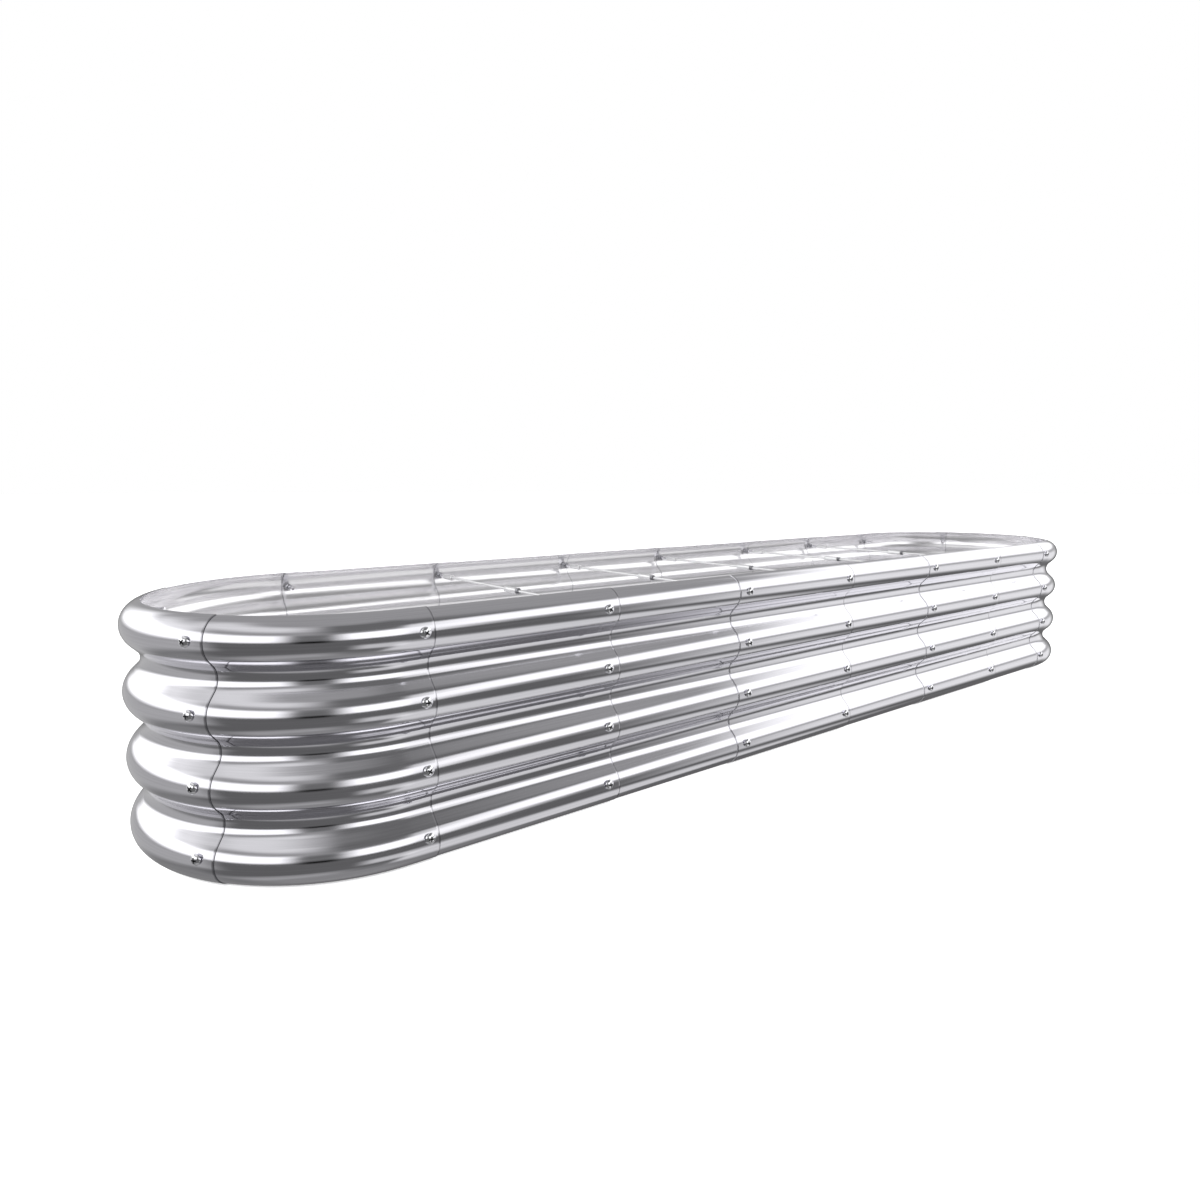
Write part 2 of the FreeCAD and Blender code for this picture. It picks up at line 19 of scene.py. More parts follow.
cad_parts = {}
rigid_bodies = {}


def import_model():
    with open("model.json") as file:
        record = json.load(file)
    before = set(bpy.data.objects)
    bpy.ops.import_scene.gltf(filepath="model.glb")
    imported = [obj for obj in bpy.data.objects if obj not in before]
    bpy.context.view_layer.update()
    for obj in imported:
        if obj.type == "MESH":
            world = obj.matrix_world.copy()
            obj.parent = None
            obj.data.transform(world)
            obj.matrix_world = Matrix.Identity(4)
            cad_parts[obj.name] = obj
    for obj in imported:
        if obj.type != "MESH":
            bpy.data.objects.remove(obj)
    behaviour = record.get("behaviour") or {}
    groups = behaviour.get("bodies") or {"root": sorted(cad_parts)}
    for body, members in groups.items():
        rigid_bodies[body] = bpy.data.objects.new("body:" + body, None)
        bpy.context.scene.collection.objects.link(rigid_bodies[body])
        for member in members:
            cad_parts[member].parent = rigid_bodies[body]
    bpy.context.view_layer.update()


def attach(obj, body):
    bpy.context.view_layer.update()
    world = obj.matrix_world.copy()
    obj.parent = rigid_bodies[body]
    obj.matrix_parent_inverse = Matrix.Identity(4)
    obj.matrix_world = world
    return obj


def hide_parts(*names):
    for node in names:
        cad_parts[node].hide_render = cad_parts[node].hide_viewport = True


LOG = logging.getLogger("garden_bed")
MM = 0.001
BED_BODY = "bed"
FRONT_AZIMUTH = -90.0
BACK_AZIMUTH = 90.0
Y_AXIS = (0.0, 1.0, 0.0)
Z_AXIS = (0.0, 0.0, 1.0)
SHEET_WELD = 1e-6
BORE_SIDES = 24
TOOL_EXCESS = 1.0
FASTENER_SMOOTHING = 35.0


class Side(Enum):
    """The two long walls, with the sign of Y on each."""

    FRONT = -1
    BACK = 1


class End(Enum):
    """The two round ends, with their place in a pair of sizes."""

    LEFT = 0
    RIGHT = 1


class Slot(Enum):
    """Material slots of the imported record."""

    SHEET = "corrugated_sheet"
    SCREW = "screws"
    NUT = "nuts"
    ROD = "tie_rods"
    LOCK_NUT = "lock_nuts"


Point = tuple[float, float]
Piece = bpy.types.Object
Material = bpy.types.Material
Socket = bpy.types.NodeSocket
Value = Socket | float
Links = dict[str | int, object]
# A piece with its CAD node, material slot and CAD body.
Placed = tuple[Piece, str, Slot, str]


# ---- modelling by hand ----


def deselect_all() -> None:
    """Clears the selection of objects."""
    for item in bpy.context.view_layer.objects:
        item.select_set(False)


def activate(piece: Piece) -> None:
    """Makes one piece the only selected and the active one."""
    deselect_all()
    piece.select_set(True)
    bpy.context.view_layer.objects.active = piece


def edit_all() -> None:
    """Goes into edit mode on the active piece, with all of it selected."""
    bpy.ops.object.mode_set(mode="EDIT")
    bpy.ops.mesh.select_all(action="SELECT")


def leave_edit() -> None:
    """Leaves edit mode."""
    bpy.ops.object.mode_set(mode="OBJECT")


def close_up(weld: float = 0.0) -> None:
    """Turns all normals of the edited piece outwards and leaves edit mode.

    Args:
        weld: vertices nearer than this are merged first, in metres.
    """
    bpy.ops.mesh.select_all(action="SELECT")
    if weld:
        bpy.ops.mesh.remove_doubles(threshold=weld)
    bpy.ops.mesh.normals_make_consistent(inside=False)
    leave_edit()


def extrude(x: float = 0.0, z: float = 0.0) -> None:
    """Extrudes the selection.

    Args:
        x: step along X.
        z: step along Z.
    """
    bpy.ops.mesh.extrude_region_move(TRANSFORM_OT_translate={"value": (x * MM, 0.0, z * MM)})


def narrow(x: float, y: float, height: float) -> None:
    """Scales the selection towards the Z axis.

    Args:
        x: factor along X.
        y: factor along Y.
        height: Z of the scaling centre.
    """
    bpy.ops.transform.resize(value=(x, y, 1.0), center_override=(0.0, 0.0, height * MM))


def spin(degrees: float, step: float, x: float, z: float, axis: tuple[float, ...]) -> None:
    """Carries the selection round an axis.

    Args:
        degrees: how far.
        step: about how far between two copies.
        x: of the axis.
        z: of the axis.
        axis: its direction.
    """
    bpy.ops.mesh.spin(
        steps=max(2, round(abs(degrees) / step)),
        angle=math.radians(degrees),
        center=(x * MM, 0.0, z * MM),
        axis=axis,
    )


def apply_modifier(piece: Piece, kind: str, **settings: object) -> None:
    """Adds a modifier to a piece and applies it.

    Args:
        piece: the piece to change.
        kind: the modifier's type.
        settings: the modifier's own settings.
    """
    activate(piece)
    modifier = piece.modifiers.new(kind.title(), kind)
    for name, value in settings.items():
        setattr(modifier, name, value)
    bpy.ops.object.modifier_apply(modifier=modifier.name)


def carve(piece: Piece, tool: Piece, operation: str = "DIFFERENCE") -> None:
    """Cuts or intersects a piece with a tool and removes the tool.

    Args:
        piece: the piece to change.
        tool: the other solid.
        operation: "DIFFERENCE" or "INTERSECT".
    """
    apply_modifier(piece, "BOOLEAN", operation=operation, object=tool, solver="EXACT")
    bpy.data.objects.remove(tool)


def smooth(piece: Piece, degrees: float) -> None:
    """Shades a piece smooth up to an angle between faces.

    Args:
        piece: the piece.
        degrees: steepest angle that is still smooth.
    """
    activate(piece)
    bpy.ops.object.shade_smooth_by_angle(angle=math.radians(degrees))


def copy_at(piece: Piece, name: str, placement: Matrix) -> Piece:
    """Copies a piece with its own mesh and writes the place into that mesh.

    Args:
        piece: the piece to copy.
        name: the copy's name.
        placement: where the copy goes.

    Returns:
        The copy, with its object at the origin.
    """
    twin = piece.copy()
    twin.data = piece.data.copy()
    twin.name = name
    bpy.context.scene.collection.objects.link(twin)
    twin.data.transform(placement)
    if placement.determinant() < 0:
        twin.data.flip_normals()
    return twin


def join(pieces: list[Piece], name: str) -> Piece:
    """Joins pieces into one object.

    Args:
        pieces: the pieces, of which the first one stays.
        name: the joined piece's name.

    Returns:
        The joined piece.
    """
    activate(pieces[0])
    for piece in pieces[1:]:
        piece.select_set(True)
    bpy.ops.object.join()
    pieces[0].name = name
    pieces[0].data.name = name
    return pieces[0]


def new_block(size: Iterable[float], middle: Iterable[float]) -> Piece:
    """Adds a block.

    Args:
        size: along X, Y and Z.
        middle: its middle point.

    Returns:
        The block.
    """
    deselect_all()
    bpy.ops.mesh.primitive_cube_add(size=1.0)
    block = bpy.context.object
    shift = Matrix.Translation([value * MM for value in middle])
    block.data.transform(shift @ Matrix.Diagonal([*(value * MM for value in size), 1.0]))
    return block


def turned(outline: list[Point], sides: int) -> Piece:
    """Models a turned piece by extruding a disc upwards ring after ring.

    Args:
        outline: radius and height of each ring from the bottom up.
        sides: corners round a ring.

    Returns:
        The closed piece, about the Z axis.
    """
    radius, height = outline[0]
    deselect_all()
    bpy.ops.mesh.primitive_circle_add(
        vertices=sides, radius=radius * MM, fill_type="NGON", location=(0.0, 0.0, 0.0)
    )
    edit_all()
    bpy.ops.transform.translate(value=(0.0, 0.0, height * MM))
    for next_radius, next_height in outline[1:]:
        extrude(z=next_height - height)
        factor = next_radius / radius
        narrow(factor, factor, next_height)
        radius, height = next_radius, next_height
    close_up()
    return bpy.context.object


def outward(x: float, azimuth: float, radius: float, height: float) -> Matrix:
    """Placement that lays a local Z axis out along an azimuth.

    Args:
        x: of the vertical axis that the azimuth turns about.
        azimuth: degrees anticlockwise from +X.
        radius: distance from that axis.
        height: Z.

    Returns:
        The placement in metres.
    """
    turn = Matrix.Rotation(math.radians(azimuth), 4, "Z")
    lay = Matrix.Translation((radius * MM, 0.0, height * MM)) @ Matrix.Rotation(
        math.radians(90.0), 4, "Y"
    )
    return Matrix.Translation((x * MM, 0.0, 0.0)) @ turn @ lay


# ---- sizes of the bed ----


@dataclass(frozen=True)
class BedSizes:
    """The sizes that the CAD part was made with, in millimetres and degrees.

    Pairs are of the left and the right end.
    """

    crest_count: int = 4
    corrugation_pitch: float = 77.6
    corrugation_depth: float = 19.8
    crest_radius: float = 27.8
    valley_radius: float = 18.0
    rim_wrap: float = 80.0
    foot_lip: float = 3.0
    sheet_thickness: float = 0.6
    sheet_step: float = 0.65
    wall_radius: float = 236.5
    bays: tuple[float, ...] = (252.5, 265.75, 248.25, 271.75, 238.5, 232.25)
    laps: tuple[float, ...] = (12.5, 19.0, 20.5, 13.5, 21.5, 18.5, 15.0)
    leads: Point = (14.8, 9.0)
    seam_angles: Point = (56.5, 58.8)
    hidden_lap: float = 8.5
    end_laps: Point = (21.0, 20.0)
    screw_pitch: float = 76.2
    first_screw: float = 34.4
    wall_levels: tuple[int, ...] = (2, 3, 2, 3, 2, 3)
    left_over_right: tuple[bool, ...] = (True, True, False, True, False, True, False)
    seam_levels: tuple[int, ...] = (1, 2, 2, 2, 2, 2, 2)
    end_levels: tuple[int, int] = (0, 1)
    corner_levels: tuple[int, int] = (1, 2)

    @property
    def straight_length(self) -> float:
        """Length of the straight walls between the centres of the round ends."""
        return self.leads[0] + sum(self.bays) + self.leads[1]

    @property
    def left_centre(self) -> float:
        """X of the left end's centre."""
        shift = self.sheet_step * (self.end_levels[1] - self.end_levels[0])
        return -(self.straight_length - shift) / 2

    @property
    def right_centre(self) -> float:
        """X of the right end's centre."""
        return self.left_centre + self.straight_length

    @property
    def columns(self) -> list[float]:
        """X of the seven screw columns of a long wall."""
        first = self.left_centre + self.leads[0]
        return [first + sum(self.bays[:count]) for count in range(len(self.bays) + 1)]

    @property
    def screw_heights(self) -> list[float]:
        """Z of the screws of a column, one on each crest."""
        return [self.first_screw + self.screw_pitch * row for row in range(self.crest_count)]

    @property
    def flank_angle(self) -> float:
        """Angle of a straight flank's normal above that of the crest line, in radians."""
        radii = self.crest_radius + self.valley_radius
        across = radii - self.corrugation_depth
        rise = self.corrugation_pitch / 2
        return math.atan2(rise, across) - math.acos(radii / math.hypot(across, rise))

    def degrees_along(self, length: float) -> float:
        """Angle that an arc of the given length takes on the round ends."""
        return math.degrees(length / self.wall_radius)

    def end_seam(self, end: End, side: Side) -> Point:
        """Finds a screw column of a round end.

        Args:
            end: which round end.
            side: its front or back column.

        Returns:
            X of the end's centre and the column's azimuth in degrees.
        """
        if end is End.LEFT:
            return self.left_centre, side.value * (90.0 + self.seam_angles[0])
        return self.right_centre, side.value * (90.0 - self.seam_angles[1])


# ---- finishes ----


def colour(code: str) -> tuple[float, float, float, float]:
    """Turns an sRGB hex value to linear RGBA.

    Args:
        code: six hex digits after a hash sign.

    Returns:
        The linear colour with full alpha.
    """
    values = [int(code[i : i + 2], 16) / 255 for i in (1, 3, 5)]
    linear = [v / 12.92 if v <= 0.04045 else ((v + 0.055) / 1.055) ** 2.4 for v in values]
    return linear[0], linear[1], linear[2], 1.0


class NodeBoard:
    """The node tree of one material or of the studio's air."""

    def __init__(self, owner: Material | bpy.types.World) -> None:
        """Starts on the default nodes.

        Args:
            owner: the material or world whose nodes these are.
        """
        owner.use_nodes = True
        self.tree = owner.node_tree

    def add(self, kind: str, links: Links | None = None, **settings: object) -> bpy.types.Node:
        """Adds a node with its settings and the links into it.

        Args:
            kind: the node's type.
            links: inputs by name or number, each with a socket to link or a plain value.
            settings: properties of the node.

        Returns:
            The new node.
        """
        node = self.tree.nodes.new(kind)
        for name, value in settings.items():
            setattr(node, name, value)
        self.feed(node, links or {})
        return node

    def feed(self, node: bpy.types.Node, links: Links) -> None:
        """Links outputs or writes values into a node's inputs.

        Args:
            node: the node to feed.
            links: as for a new node.
        """
        for name, source in links.items():
            if isinstance(source, Socket):
                self.tree.links.new(source, node.inputs[name])
            else:
                node.inputs[name].default_value = source

    def paint(self, links: Links) -> None:
        """Feeds the surface shader of a material.

        Args:
            links: as for a new node.
        """
        self.feed(self.tree.nodes["Principled BSDF"], links)

    def calc(self, operation: str, *values: Value) -> Socket:
        """Adds a calculation with numbers.

        Args:
            operation: what is worked out.
            values: the numbers that go into it, in order.

        Returns:
            The result.
        """
        return self.add("ShaderNodeMath", dict(enumerate(values)), operation=operation).outputs[0]

    def remap(
        self, value: Socket, source: Point, target: tuple[Value, Value], kind: str = "LINEAR"
    ) -> Socket:
        """Adds a map from one range of numbers to another.

        Args:
            value: the number to map.
            source: the two ends of its range.
            target: what they become.
            kind: "LINEAR" or "SMOOTHSTEP".

        Returns:
            The result.
        """
        links = {"Value": value, "From Min": source[0], "From Max": source[1]}
        links |= {"To Min": target[0], "To Max": target[1]}
        return self.add("ShaderNodeMapRange", links, interpolation_type=kind).outputs["Result"]

    def mix(self, factor: Socket, first: object, second: object, kind: str = "RGBA") -> Socket:
        """Adds a mix of two colours or numbers.

        Args:
            factor: the share of the second.
            first: the first one.
            second: the second one.
            kind: "RGBA" or "FLOAT".

        Returns:
            The mix.
        """
        links = {"Factor": factor, "A": first, "B": second}
        return self.add("ShaderNodeMix", links, data_type=kind).outputs["Result"]


@dataclass(frozen=True)
class RolledGalvanised:
    """Bright galvanised steel sheet, rolled lengthwise: smooth zinc with faint draw lines.

    The roll forming leaves long streaks along the sheet, so reflections are pulled along it. The
    shears draw the zinc down a little at both ends of a sheet, in the bump; the thin dark line
    laid over the colour there is painted shade of the gap at the lapped seam.
    """

    name: str = "galvanised_steel_rolled"
    bright: str = "#DDDCE1"
    dull: str = "#C9C8CD"
    metallic: float = 1.0
    roughness: Point = (0.08, 0.14)
    streak_contrast: Point = (0.3, 0.7)
    streak_width: float = 2.0
    streak_length: float = 170.0
    streak_depth: float = 0.003
    ripple_width: float = 26.0
    ripple_length: float = 190.0
    ripple_depth: float = 0.03
    # Width of the ends' mask, for the dip and for the painted seam shade.
    seam_dip_and_shade_width: float = 2.8
    sheared_drop: float = 0.12
    # Painted shade of the gap at the lapped seams, laid over the colour in the ends' mask.
    seam_shade_tone: str = "#98979C"

    def noise(self, board: NodeBoard, length: float, width: float) -> Socket:
        """Adds noise that is stretched along the sheet.

        Args:
            board: the material's nodes.
            length: size of a patch along the sheet.
            width: size of a patch across it.

        Returns:
            The noise.
        """
        along = board.add("ShaderNodeUVMap", uv_map="along_sheet").outputs["UV"]
        stretch = (1 / (length * MM), 1 / (width * MM), 1.0)
        mapping = board.add("ShaderNodeMapping", {"Vector": along, "Scale": stretch})
        pattern = {"Vector": mapping.outputs["Vector"], "Scale": 1.0, "Detail": 3.0}
        return board.add("ShaderNodeTexNoise", pattern).outputs["Fac"]

    def end_strip(self, board: NodeBoard) -> Socket:
        """Adds the ends' mask, for the dip and the painted seam shade: 1 at the cut, 0 from the
        strip's width on.
        """
        ends = board.add("ShaderNodeUVMap", uv_map="from_ends").outputs["UV"]
        both = board.add("ShaderNodeSeparateXYZ", {"Vector": ends})
        nearer = board.calc("MINIMUM", both.outputs["X"], both.outputs["Y"])
        return board.remap(nearer, (0.0, self.seam_dip_and_shade_width * MM), (1.0, 0.0), "SMOOTHSTEP")

    def surface(self, board: NodeBoard, strip: Socket, streaks: Socket) -> Socket:
        """Adds the relief of the sheet: draw lines, slow ripples and the drawn-down ends.

        Args:
            board: the material's nodes.
            strip: mask of the sheared ends, which in the colour also carries the painted seam
                shade.
            streaks: noise of the draw lines.

        Returns:
            The normal.
        """
        relief = (
            (streaks, self.streak_depth),
            (self.noise(board, self.ripple_length, self.ripple_width), self.ripple_depth),
            (board.calc("SUBTRACT", 1.0, strip), self.sheared_drop),
        )
        links: Links = {}
        for height, depth in relief:
            links |= {"Height": height, "Distance": depth * MM, "Strength": 1.0}
            links = {"Normal": board.add("ShaderNodeBump", links).outputs["Normal"]}
        return links["Normal"]

    def build(self) -> Material:
        """Makes the material."""
        material = bpy.data.materials.new(self.name)
        board = NodeBoard(material)
        streaks = self.noise(board, self.streak_length, self.streak_width)
        strip = self.end_strip(board)
        zinc = board.mix(streaks, colour(self.dull), colour(self.bright))
        board.paint(
            {
                # Painted shade at the lapped seams: a darker tone over the mask at both ends of
                # the sheet.
                "Base Color": board.mix(strip, zinc, colour(self.seam_shade_tone)),
                "Roughness": board.remap(streaks, self.streak_contrast, self.roughness),
                "Normal": self.surface(board, strip, streaks),
                "Metallic": self.metallic,
            }
        )
        return material


@dataclass(frozen=True)
class SpeckledSteel:
    """Steel of the fasteners and of cut edges: even, with small speckles in its gloss."""

    name: str
    light: str
    dark: str
    roughness: Point
    metallic: float = 1.0
    speckle: float = 1.2

    def build(self) -> Material:
        """Makes the material."""
        material = bpy.data.materials.new(self.name)
        board = NodeBoard(material)
        place = board.add("ShaderNodeTexCoord").outputs["Object"]
        pattern = {"Vector": place, "Scale": 1 / (self.speckle * MM), "Detail": 2.0}
        speckles = board.add("ShaderNodeTexNoise", pattern).outputs["Fac"]
        board.paint(
            {
                "Base Color": board.mix(speckles, colour(self.dark), colour(self.light)),
                "Roughness": board.remap(speckles, (0.0, 1.0), self.roughness),
                "Metallic": self.metallic,
            }
        )
        return material


# ---- corrugated walls ----


@dataclass
class CorrugatedWalls:
    """The eighteen lapped sheets of the bed."""

    sizes: BedSizes
    arc_step: float = 3.0
    sweep_step: float = 1.5
    smoothing: float = 40.0
    drawn: dict[int, Piece] = field(default_factory=dict)

    def draw_outline(self, level: int) -> Piece:
        """Draws a sheet's outer line as a chain of edges, by extruding and spinning its end.

        Args:
            level: the sheet's nesting level, 0 for the outermost.

        Returns:
            The line, in the plane of X (radius) and Z.
        """
        if level in self.drawn:
            return self.drawn[level]
        s = self.sizes
        crest_r = s.crest_radius - level * s.sheet_step
        valley_r = s.valley_radius + level * s.sheet_step
        crest_x = s.wall_radius - s.crest_radius
        valley_x = s.wall_radius - s.corrugation_depth + s.valley_radius
        flank = math.degrees(s.flank_angle)
        across = math.cos(s.flank_angle)
        rise = math.sin(s.flank_angle)
        top = s.crest_count - 1
        foot_z = s.crest_radius - crest_r
        deselect_all()
        bpy.ops.mesh.primitive_plane_add(size=0.01)
        self.drawn[level] = bpy.context.object
        edit_all()
        bpy.ops.mesh.merge(type="CENTER")
        bpy.ops.transform.translate(value=((crest_x - s.foot_lip) * MM, 0.0, foot_z * MM))
        extrude(x=s.foot_lip)
        for number in range(s.crest_count):
            crest_z = s.crest_radius + s.corrugation_pitch * number
            start = -90.0 if number == 0 else -flank
            stop = s.rim_wrap if number == top else flank
            spin(stop - start, self.arc_step, crest_x, crest_z, Y_AXIS)
            if number < top:
                valley_z = crest_z + s.corrugation_pitch / 2
                step_x = valley_x - valley_r * across - crest_x - crest_r * across
                step_z = valley_z - valley_r * rise - crest_z - crest_r * rise
                extrude(x=step_x, z=step_z)
                spin(-2 * flank, self.arc_step, valley_x, valley_z, Y_AXIS)
                extrude(x=-step_x, z=step_z)
        leave_edit()
        return self.drawn[level]

    def sweep(self, name: str, level: int, start: float, stop: float) -> Piece:
        """Sweeps a sheet's outer line along the front wall and round its ends.

        Args:
            name: the sheet's name.
            level: its nesting level.
            start: where it starts along the front path: 0 at the left end's centre, negative on
                the left end, past the straight length on the right end.
            stop: where it ends.

        Returns:
            The open shell of the sheet's outer face, facing outwards.
        """
        s = self.sizes
        left = min(0.0, stop) - min(0.0, start)
        straight = min(stop, s.straight_length) - max(start, 0.0)
        right = max(stop, s.straight_length) - max(start, s.straight_length)
        before, past = min(0.0, start), max(0.0, start - s.straight_length)
        azimuth = FRONT_AZIMUTH + s.degrees_along(before + past)
        turn = Matrix.Rotation(math.radians(azimuth), 4, "Z")
        x = s.left_centre + min(max(start, 0.0), s.straight_length)
        placement = Matrix.Translation((x * MM, 0.0, 0.0)) @ turn
        shell = copy_at(self.draw_outline(level), name, placement)
        activate(shell)
        edit_all()
        if left > 0:
            spin(-s.degrees_along(left), self.sweep_step, s.left_centre, 0.0, Z_AXIS)
        if straight > 0:
            extrude(x=straight)
        if right > 0:
            spin(-s.degrees_along(right), self.sweep_step, s.right_centre, 0.0, Z_AXIS)
        close_up(SHEET_WELD)
        lowest = min(shell.data.polygons, key=lambda polygon: polygon.center.z)
        if lowest.normal.z > 0:
            shell.data.flip_normals()
        return shell

    def lay_coordinates(self, sheet: Piece) -> None:
        """Writes two UV maps in metres: along and across the sheet, and from its two ends.

        Args:
            sheet: the sheet.
        """
        places = [self.unroll(vertex.co) for vertex in sheet.data.vertices]
        first, last = min(places)[0], max(places)[0]
        along = sheet.data.uv_layers.new(name="along_sheet")
        ends = sheet.data.uv_layers.new(name="from_ends")
        for loop in sheet.data.loops:
            run, across = places[loop.vertex_index]
            along.data[loop.index].uv = (run, across)
            ends.data[loop.index].uv = (run - first, last - run)
        sheet.data.uv_layers.active = along

    def unroll(self, place: Vector) -> Point:
        """Lays a point of the wall out flat.

        Args:
            place: the point, in metres.

        Returns:
            Its distance along the wall, and across it by its height and half its depth.
        """
        s = self.sizes
        left, right, radius = s.left_centre * MM, s.right_centre * MM, s.wall_radius * MM
        axis = min(max(place.x, left), right)
        aside = place.x - axis
        run = axis - left + radius * math.atan2(aside, -place.y)
        return run, place.z + 0.5 * (radius - math.hypot(aside, place.y))

    def thicken(self, shell: Piece, finishes: list[Material]) -> None:
        """Gives a shell the sheet's thickness, its finishes and its UV maps.

        Args:
            shell: the sheet's outer face.
            finishes: zinc outside, zinc inside, and the sheared edge.
        """
        for finish in finishes:
            shell.data.materials.append(finish)
        apply_modifier(
            shell,
            "SOLIDIFY",
            thickness=self.sizes.sheet_thickness * MM,
            offset=-1.0,
            use_quality_normals=True,
            material_offset=1,
            material_offset_rim=2,
        )
        self.lay_coordinates(shell)
        smooth(shell, self.smoothing)

    def sheet_runs(self) -> dict[str, tuple[int, float, float]]:
        """Finds level, start and stop of each sheet of the front wall and of the two ends."""
        s = self.sizes
        columns = [x - s.left_centre for x in s.columns]
        runs = {}
        for bay, level in enumerate(s.wall_levels):
            before = s.hidden_lap if s.left_over_right[bay] else s.laps[bay]
            after = s.laps[bay + 1] if s.left_over_right[bay + 1] else s.hidden_lap
            span = (level, columns[bay] - before, columns[bay + 1] + after)
            runs[f"front_panel_{bay + 1}"] = span
        quarter = math.radians(90.0) * s.wall_radius
        seams = [math.radians(angle) * s.wall_radius for angle in s.seam_angles]
        starts = (-(seams[0] + s.hidden_lap), columns[-1] - s.laps[-1])
        stops = (columns[0] + s.laps[0], s.straight_length + (seams[1] + s.hidden_lap))
        tips = (-quarter, s.straight_length + quarter)
        for end in End:
            pair, side = end.value, end.name.lower()
            runs[f"front_corner_{side}"] = (s.corner_levels[pair], starts[pair], stops[pair])
        for end in End:
            pair, side = end.value, end.name.lower()
            reach = quarter - seams[pair] + s.end_laps[pair]
            level, tip = s.end_levels[pair], tips[pair]
            runs[f"{side}_end_panel"] = (level, tip - reach, tip + reach)
        return runs

    def build(self, finishes: list[Material], end_finishes: list[Material]) -> list[Placed]:
        """Makes all the sheets.

        Args:
            finishes: zinc outside, zinc inside whitened as painted light, and the sheared edge in
                a light tone as painted light, of the walls.
            end_finishes: the same for the two end sheets, but with the sheared edge dark: bare
                steel made darker as painted shade of the gap at the lap.

        Returns:
            The sheets.
        """
        made = []
        mirror = Matrix.Scale(-1.0, 4, Y_AXIS)
        for node, run in self.sheet_runs().items():
            at_tip = node.endswith("end_panel")
            sheet = self.sweep(f"{node}_sheet", *run)
            self.thicken(sheet, end_finishes if at_tip else finishes)
            made.append((sheet, node, Slot.SHEET, BED_BODY))
            if not at_tip:
                back = node.replace("front", "back", 1)
                twin = copy_at(sheet, f"{back}_sheet", mirror)
                made.append((twin, back, Slot.SHEET, BED_BODY))
        for line in self.drawn.values():
            bpy.data.objects.remove(line)
        return made


# ---- fasteners ----


@dataclass(frozen=True)
class Bar:
    """The bar of a screw or rod, shown as the plain core that its thread would run on."""

    diameter: float
    pitch: float
    sides: int = 12
    thread_depth: float = 0.61
    core_excess: float = 0.02
    end_taper: float = 0.1
    end_chamfer: float = 0.15

    def build(self, length: float) -> Piece:
        """Models the bar from Z = 0 up.

        Args:
            length: of the bar.

        Returns:
            The closed bar.
        """
        root = self.diameter / 2 - self.thread_depth * self.pitch
        end = root - self.end_taper
        side = root + self.core_excess
        foot, head = self.end_chamfer, length - self.end_chamfer
        return turned([(end, 0.0), (side, foot), (side, head), (end, length)], self.sides)


